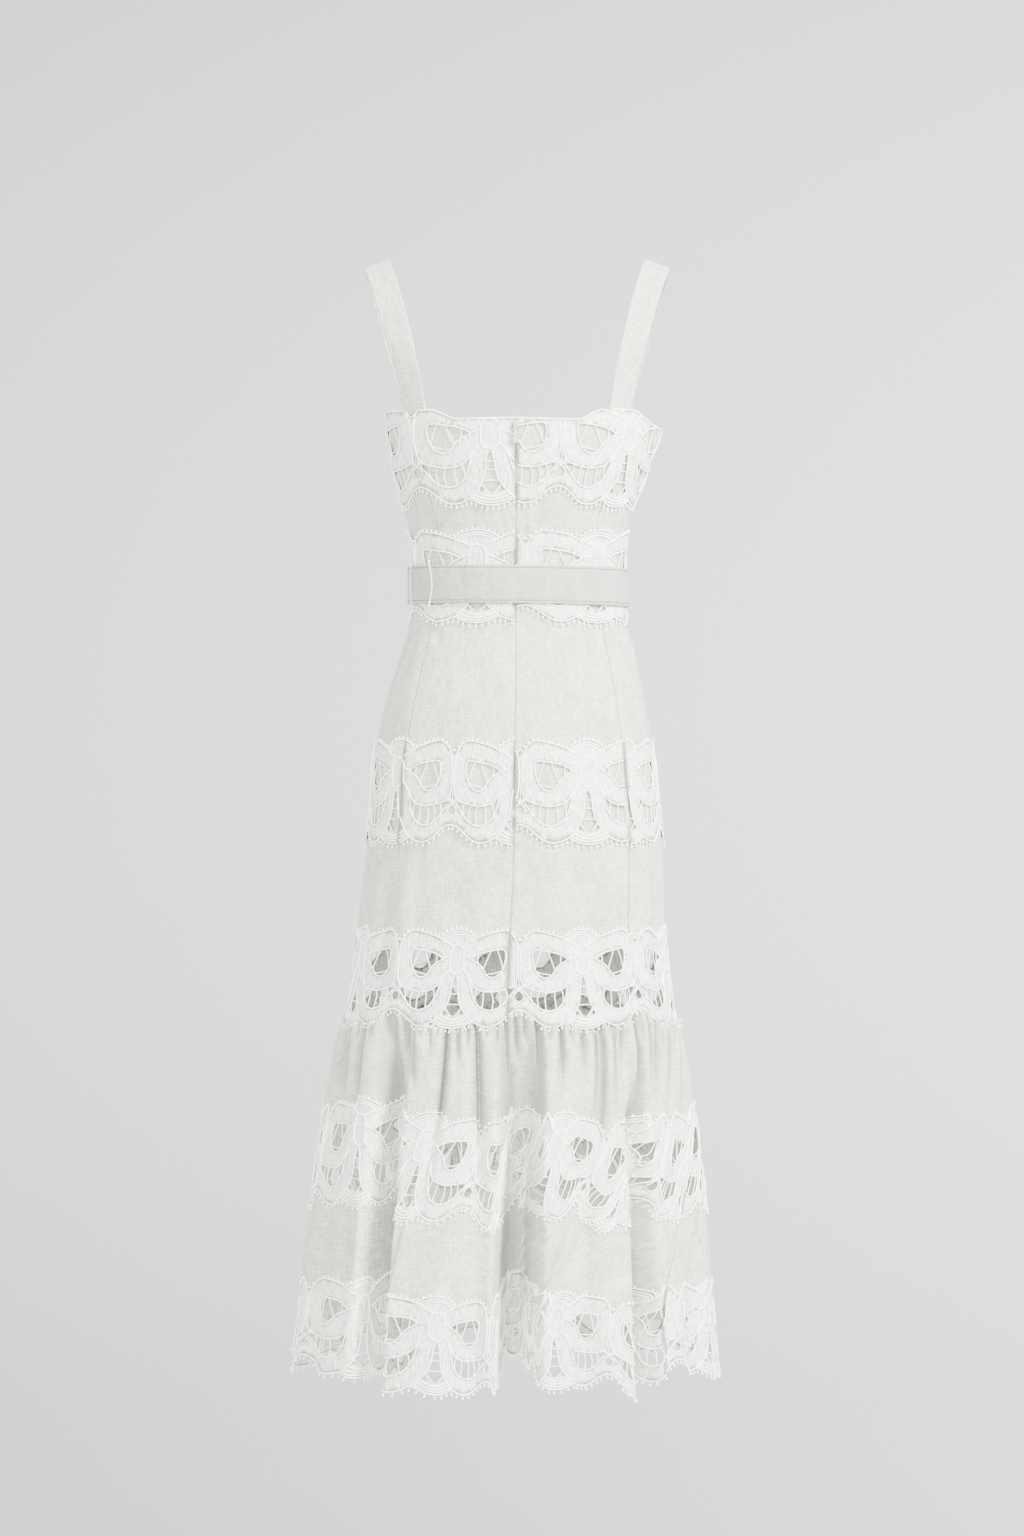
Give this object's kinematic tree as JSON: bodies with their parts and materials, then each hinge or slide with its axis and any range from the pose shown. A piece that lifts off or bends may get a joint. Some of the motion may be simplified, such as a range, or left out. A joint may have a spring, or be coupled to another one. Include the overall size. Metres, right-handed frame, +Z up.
{
  "type": "tiered lace midi dress",
  "caption": "Sleeveless fitted midi dress in worn form with flat straps, belt, bands of ribbon-bow cutwork lace and a gathered flounce; hollow, back zip.",
  "frame": {"origin": "midway between the crests of the two shoulder straps, where the wearer carries the dress", "axes": "+Z up; the zipped back faces -Y and the front +Y; +X is the wearer's right side, on the right in the pictured back view"},
  "size_m": [0.4695, 0.4069, 1.2296],
  "materials": {
    "linen_cotton_cloth": "matt plain weave",
    "cutwork_lace": "matt, corded edges",
    "belt_cloth": "matt plain weave, stiffened",
    "zip_enamel": "satin enamel"
  },
  "bodies": {
    "dress": {"belt": "belt_cloth", "belt_buckle": "belt_cloth", "belt_loop_left_1": "linen_cotton_cloth", "belt_loop_left_2": "linen_cotton_cloth", "belt_loop_right_1": "linen_cotton_cloth", "belt_loop_right_2": "linen_cotton_cloth", "bodice_centre_back_left": "linen_cotton_cloth", "bodice_centre_back_right": "linen_cotton_cloth", "bodice_front": "linen_cotton_cloth", "bodice_side_back_left": "linen_cotton_cloth", "bodice_side_back_right": "linen_cotton_cloth", "flounce_lower_back": "linen_cotton_cloth", "flounce_lower_front": "linen_cotton_cloth", "flounce_upper_back": "linen_cotton_cloth", "flounce_upper_front": "linen_cotton_cloth", "lace_flounce_back": "cutwork_lace", "lace_flounce_front": "cutwork_lace", "lace_hem_back": "cutwork_lace", "lace_hem_front": "cutwork_lace", "lace_hip_centre_back_left": "cutwork_lace", "lace_hip_centre_back_right": "cutwork_lace", "lace_hip_front": "cutwork_lace", "lace_hip_side_left": "cutwork_lace", "lace_hip_side_right": "cutwork_lace", "lace_knee_back_left": "cutwork_lace", "lace_knee_back_right": "cutwork_lace", "lace_knee_front": "cutwork_lace", "lace_top_back_left": "cutwork_lace", "lace_top_back_right": "cutwork_lace", "lace_top_front": "cutwork_lace", "lace_waist_back_left": "cutwork_lace", "lace_waist_back_right": "cutwork_lace", "lace_waist_front": "cutwork_lace", "skirt_centre_back_left": "linen_cotton_cloth", "skirt_centre_back_right": "linen_cotton_cloth", "skirt_front": "linen_cotton_cloth", "skirt_side_back_left": "linen_cotton_cloth", "skirt_side_back_right": "linen_cotton_cloth", "strap_left": "linen_cotton_cloth", "strap_right": "linen_cotton_cloth", "zip_slider": "zip_enamel"},
    "zip_pull": {"zip_pull": "zip_enamel"}
  },
  "joints": [
    {"name": "zip_pull_swing", "type": "hinge", "parent": "dress", "child": "zip_pull", "pos_m": [-0.00148, -0.10295, -0.1846], "axis": [-1, 0, 0], "range_deg": [0, 150]}
  ]
}
